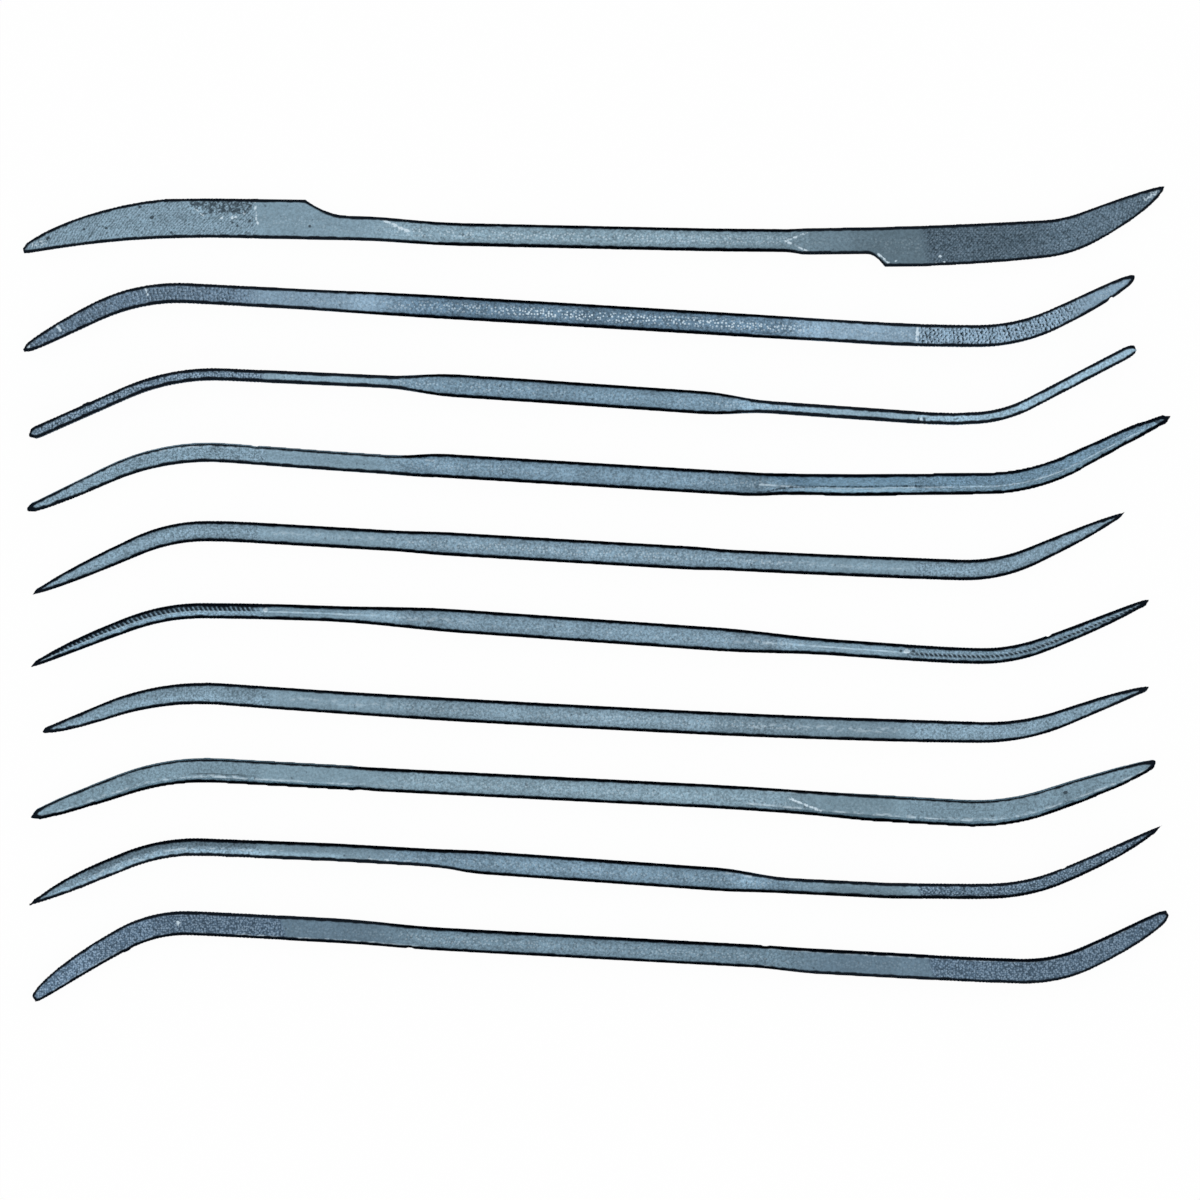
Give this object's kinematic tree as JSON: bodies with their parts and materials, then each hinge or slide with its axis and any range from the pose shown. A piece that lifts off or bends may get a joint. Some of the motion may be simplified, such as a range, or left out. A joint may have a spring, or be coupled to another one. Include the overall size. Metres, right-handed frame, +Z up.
{
  "type": "riffler file set",
  "caption": "Row of double-ended riffler files, each a slim round steel handle drawn out at both ends to an S-bent file blade with its own cross-section.",
  "frame": {"origin": "Middle of the row's outline, at the level of the surface that the files lie on.", "axes": "+X runs along the files to the right, +Y across the row towards the knife file, and +Z up from the surface that they lie on."},
  "size_m": [0.1808, 0.1284, 0.005],
  "materials": {
    "bright_steel": "satin, with a cool blue-grey cast and fine tooth cuts at both ends",
    "dark_steel": "satin, darker blue-grey"
  },
  "bodies": {
    "flat_riffler": {"flat_riffler": "bright_steel"},
    "knife_riffler": {"knife_riffler": "bright_steel"},
    "square_riffler": {"square_riffler": "bright_steel"},
    "three_square_riffler": {"three_square_riffler": "bright_steel"},
    "round_riffler": {"round_riffler": "bright_steel"},
    "crossing_riffler": {"crossing_riffler": "bright_steel"},
    "oval_riffler": {"oval_riffler": "bright_steel"},
    "barrette_riffler": {"barrette_riffler": "bright_steel"},
    "half_round_riffler": {"half_round_riffler": "bright_steel"},
    "pillar_riffler": {"pillar_riffler": "dark_steel"}
  },
  "joints": [
    {"name": "knife_lift", "type": "slide", "parent": "flat_riffler", "child": "knife_riffler", "axis": [0, 0, 1], "range_m": [0, 0.04]},
    {"name": "square_lift", "type": "slide", "parent": "flat_riffler", "child": "square_riffler", "axis": [0, 0, 1], "range_m": [0, 0.04]},
    {"name": "three_square_lift", "type": "slide", "parent": "flat_riffler", "child": "three_square_riffler", "axis": [0, 0, 1], "range_m": [0, 0.04]},
    {"name": "round_lift", "type": "slide", "parent": "flat_riffler", "child": "round_riffler", "axis": [0, 0, 1], "range_m": [0, 0.04]},
    {"name": "crossing_lift", "type": "slide", "parent": "flat_riffler", "child": "crossing_riffler", "axis": [0, 0, 1], "range_m": [0, 0.04]},
    {"name": "oval_lift", "type": "slide", "parent": "flat_riffler", "child": "oval_riffler", "axis": [0, 0, 1], "range_m": [0, 0.04]},
    {"name": "barrette_lift", "type": "slide", "parent": "flat_riffler", "child": "barrette_riffler", "axis": [0, 0, 1], "range_m": [0, 0.04]},
    {"name": "half_round_lift", "type": "slide", "parent": "flat_riffler", "child": "half_round_riffler", "axis": [0, 0, 1], "range_m": [0, 0.04]},
    {"name": "pillar_lift", "type": "slide", "parent": "flat_riffler", "child": "pillar_riffler", "axis": [0, 0, 1], "range_m": [0, 0.04]}
  ]
}
